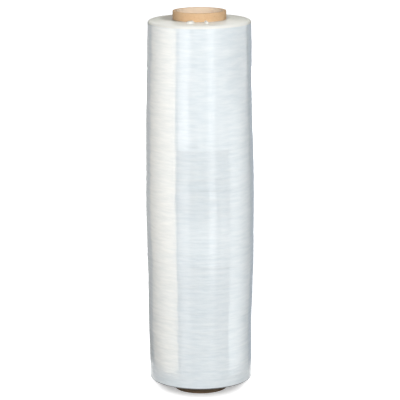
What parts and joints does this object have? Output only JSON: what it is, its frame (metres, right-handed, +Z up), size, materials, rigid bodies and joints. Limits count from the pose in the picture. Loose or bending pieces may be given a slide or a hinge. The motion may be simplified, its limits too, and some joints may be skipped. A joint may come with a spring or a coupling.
{
  "type": "stretch wrap roll",
  "caption": "Clear stretch film wound into a tall, slightly barrelled roll on a cardboard core that stands out at both ends, standing upright on its core.",
  "frame": {"origin": "on the core's axis, in the plane of its lower cut end, which is the surface that the roll stands on", "axes": "+Z up along the core's axis; -Y towards the viewer of the picture; +X to the viewer's right"},
  "size_m": [0.1188, 0.1186, 0.4224],
  "materials": {
    "cardboard": "matt spirally wound kraft paperboard",
    "film": "glossy, milky where hundreds of clear turns lie on each other"
  },
  "bodies": {
    "root": {"cardboard_core": "cardboard", "film_roll": "film"}
  },
  "joints": []
}
